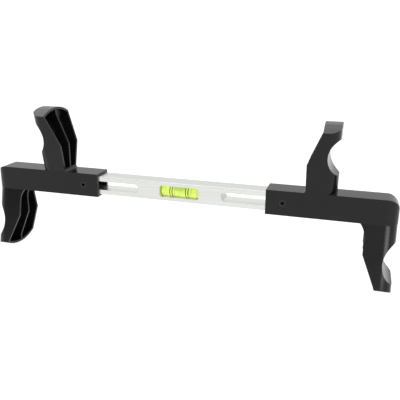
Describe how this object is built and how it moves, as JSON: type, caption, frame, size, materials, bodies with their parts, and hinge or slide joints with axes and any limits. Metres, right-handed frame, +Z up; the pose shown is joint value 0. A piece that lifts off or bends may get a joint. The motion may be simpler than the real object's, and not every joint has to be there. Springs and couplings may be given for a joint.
{
  "type": "steering wheel level",
  "caption": "Telescoping steering wheel level: a slotted aluminium bar with a bubble vial and a sprung black arm on each end, with notched horns and legs for the rim.",
  "frame": {"origin": "middle of the bar, which is the middle of the object's box", "axes": "+X along the bar to the right arm, -Y out of the face that shows the vial, +Z up towards the horns"},
  "size_m": [0.439, 0.0528, 0.1628],
  "materials": {
    "bar_alloy": "satin",
    "arm_plastic": "satin",
    "pin_steel": "satin",
    "bush_nylon": "matte",
    "spring_steel": "satin",
    "vial_acrylic": "gloss",
    "vial_fluid": "gloss",
    "bubble_air": "gloss",
    "ring_ink": "matte",
    "bed_compound": "matte"
  },
  "bodies": {
    "bar_body": {"level_bar": "bar_alloy", "vial_bed": "bed_compound", "vial_tube": "vial_acrylic", "vial_plug": "vial_acrylic", "vial_liquid": "vial_fluid", "index_ring_left_outer": "ring_ink", "index_ring_left_inner": "ring_ink", "index_ring_right_inner": "ring_ink", "index_ring_right_outer": "ring_ink", "left_spring": "spring_steel", "right_spring": "spring_steel"},
    "left_arm_body": {"left_arm": "arm_plastic", "left_guide_pin": "pin_steel", "left_guide_bush": "bush_nylon"},
    "right_arm_body": {"right_arm": "arm_plastic", "right_guide_pin": "pin_steel", "right_guide_bush": "bush_nylon"},
    "bubble_body": {"vial_bubble": "bubble_air"}
  },
  "joints": [
    {"name": "left_slide", "type": "slide", "parent": "bar_body", "child": "left_arm_body", "axis": [1, 0, 0], "range_m": [0, 0.058], "stiffness_N_per_m": 480, "springref_m": -0.02, "deforming": ["left_spring"]},
    {"name": "right_slide", "type": "slide", "parent": "bar_body", "child": "right_arm_body", "axis": [-1, 0, 0], "range_m": [0, 0.058], "stiffness_N_per_m": 480, "springref_m": -0.02, "deforming": ["right_spring"]},
    {"name": "bubble_slide", "type": "slide", "parent": "bar_body", "child": "bubble_body", "axis": [1, 0, 0], "range_m": [-0.005, 0.005], "stiffness_N_per_m": 1}
  ]
}
